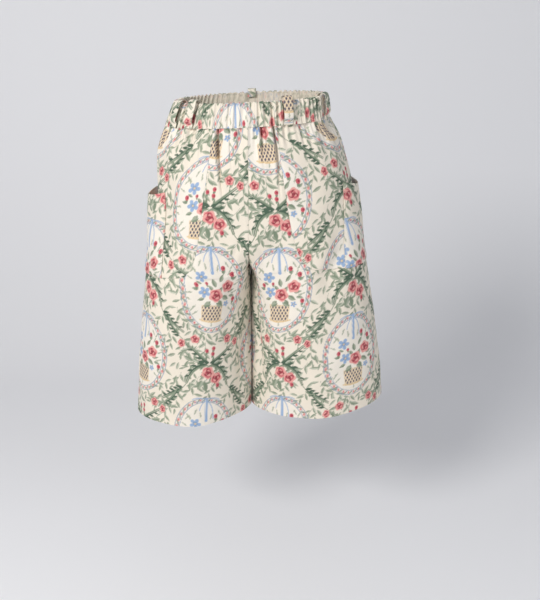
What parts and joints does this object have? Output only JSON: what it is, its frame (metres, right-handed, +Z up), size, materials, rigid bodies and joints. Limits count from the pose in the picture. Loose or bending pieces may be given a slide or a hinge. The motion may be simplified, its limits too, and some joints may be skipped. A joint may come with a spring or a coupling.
{
  "type": "culottes",
  "caption": "Worn wide-leg culottes with a gathered elastic casing, belt loops, curved hip pieces, patch pockets at the side seams, open hems.",
  "frame": {"origin": "middle of the waist opening, at half the height of the elastic casing, where the wearer's waist holds the garment", "axes": "+Z up along the body, +X towards the wearer's left, -Y towards the wearer's front"},
  "size_m": [0.5449, 0.2665, 0.6951],
  "materials": {
    "printed_cotton": "lightly glazed furnishing cotton"
  },
  "bodies": {
    "root": {"waistband": "printed_cotton", "front_left": "printed_cotton", "front_right": "printed_cotton", "back_left": "printed_cotton", "back_right": "printed_cotton", "hip_left": "printed_cotton", "hip_right": "printed_cotton", "pocket_right": "printed_cotton", "pocket_left": "printed_cotton", "belt_loop_side_left": "printed_cotton", "belt_loop_front_left": "printed_cotton", "belt_loop_front_right": "printed_cotton", "belt_loop_side_right": "printed_cotton", "belt_loop_back": "printed_cotton"}
  },
  "joints": []
}
